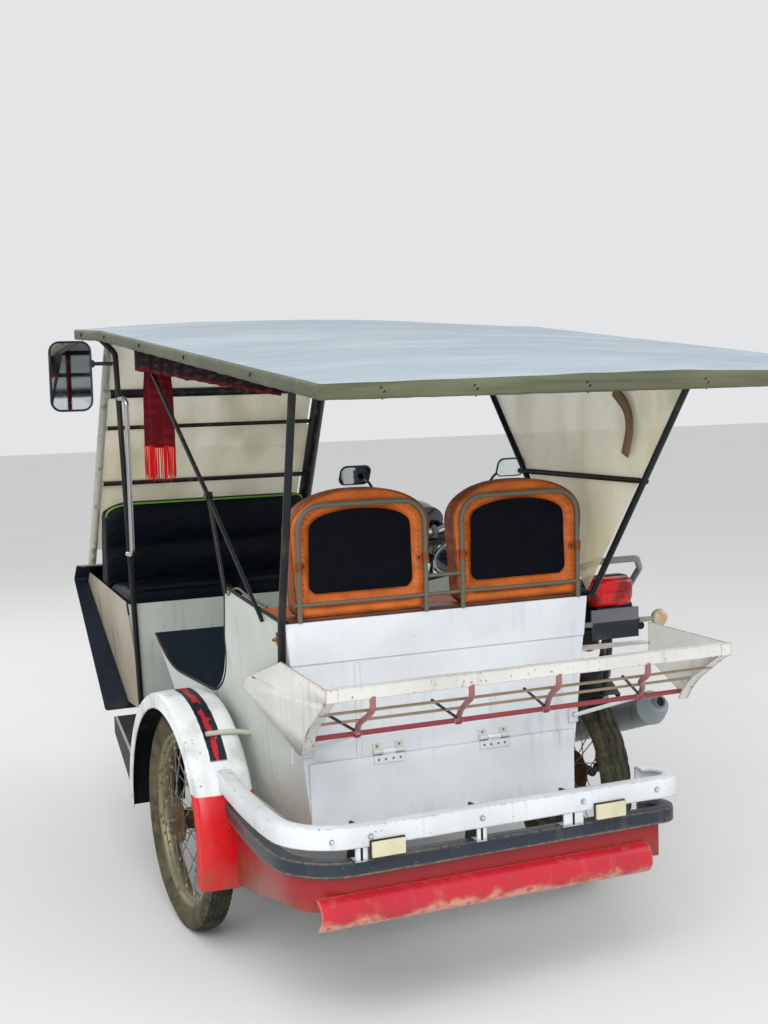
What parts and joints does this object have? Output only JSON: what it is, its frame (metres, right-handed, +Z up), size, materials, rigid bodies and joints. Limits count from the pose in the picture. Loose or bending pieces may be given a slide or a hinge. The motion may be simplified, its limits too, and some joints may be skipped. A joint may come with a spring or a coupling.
{
  "type": "motor trike",
  "caption": "Commuter motorcycle with a sheet-metal passenger sidecar, facing seats, luggage rack and a shared canopy.",
  "frame": {"origin": "on the ground, under the middle of the vehicle's box", "axes": "+X to the right, where the motorcycle is, +Y forward, +Z up"},
  "size_m": [1.597, 2.5189, 1.6458],
  "materials": {
    "amber_lens": "moulded",
    "black_paint": "worn gloss paint",
    "black_plastic": "moulded",
    "blue_grey_paint": "worn paint",
    "cast_grey": "cast",
    "clear_sheet": "hazy plastic",
    "lamp_red": "moulded",
    "mirror": "glass in a black frame",
    "muffler_grey": "dusty paint",
    "navy_paint": "worn gloss paint",
    "olive_steel": "dull paint",
    "red_paint": "worn gloss paint",
    "reflector": "moulded",
    "rusty_steel": "rusty",
    "stainless": "polished",
    "steel": "worn",
    "tarpaulin": "coated cloth",
    "tub_paint": "chipped gloss paint",
    "tyre": "dusty",
    "vinyl_black": "vinyl",
    "vinyl_orange": "vinyl",
    "white_paint": "chipped gloss paint",
    "wood": "worn varnish",
    "woven": "woven cloth"
  },
  "bodies": {
    "trike": {"bench_back": "vinyl_black", "bench_box": "white_paint", "bench_cushion": "vinyl_black", "bike_frame": "black_paint", "bike_seat": "vinyl_black", "bumper_lower": "blue_grey_paint", "bumper_upper": "white_paint", "canopy_cover": "tarpaulin", "chassis": "black_paint", "engine": "cast_grey", "folding_strut": "black_paint", "front_left_panel": "tub_paint", "fuel_tank": "navy_paint", "grab_handle": "stainless", "grab_rail": "stainless", "hatch_hinges": "steel", "indicators": "amber_lens", "left_panel": "tub_paint", "left_seat": "vinyl_orange", "luggage_rack": "white_paint", "muffler": "muffler_grey", "nose_panel": "navy_paint", "rear_mudguard": "black_plastic", "rear_panel": "white_paint", "rear_step": "red_paint", "reflectors": "reflector", "right_panel": "tub_paint", "right_seat": "vinyl_orange", "roof_frame": "black_paint", "running_board": "navy_paint", "scarf": "woven", "screen_frame": "black_paint", "screen_sheet": "clear_sheet", "seat_box": "white_paint", "seat_hoops": "olive_steel", "seat_ledge": "wood", "shield_frame": "black_paint", "shield_sheet": "clear_sheet", "shock_absorbers": "steel", "side_fender": "white_paint", "side_mirror": "mirror", "stub_axle": "steel", "swing_arm": "black_paint", "tail_cover": "black_plastic", "tail_lamp": "lamp_red", "tub_floor": "navy_paint", "valance": "red_paint", "woven_pelmet": "woven"},
    "steering": {"fork": "steel", "handlebar": "stainless", "headlamp_cowl": "black_plastic", "front_mudguard": "navy_paint"},
    "front_wheel": {"front_wheel": "rusty_steel", "front_tyre": "tyre"},
    "rear_wheel": {"rear_wheel": "rusty_steel", "rear_tyre": "tyre"},
    "side_wheel": {"side_wheel": "rusty_steel", "side_tyre": "tyre"},
    "hatch": {"luggage_hatch": "white_paint"}
  },
  "joints": [
    {"name": "steering_turn", "type": "hinge", "parent": "trike", "child": "steering", "pos_m": [0.423, 1.017, 0], "axis": [0, -0.4462, 0.8949], "range_deg": [-30, 30]},
    {"name": "front_wheel_spin", "type": "hinge", "parent": "steering", "child": "front_wheel", "pos_m": [0.423, 0.932, 0.29], "axis": [1, 0, 0], "continuous": true},
    {"name": "rear_wheel_spin", "type": "hinge", "parent": "trike", "child": "rear_wheel", "pos_m": [0.423, -0.328, 0.29], "axis": [1, 0, 0], "continuous": true},
    {"name": "side_wheel_spin", "type": "hinge", "parent": "trike", "child": "side_wheel", "pos_m": [-0.677, -0.228, 0.29], "axis": [1, 0, 0], "continuous": true},
    {"name": "hatch_hinge", "type": "hinge", "parent": "trike", "child": "hatch", "pos_m": [-0.217, -0.836, 0.564], "axis": [-1, 0, 0], "range_deg": [0, 85]}
  ]
}
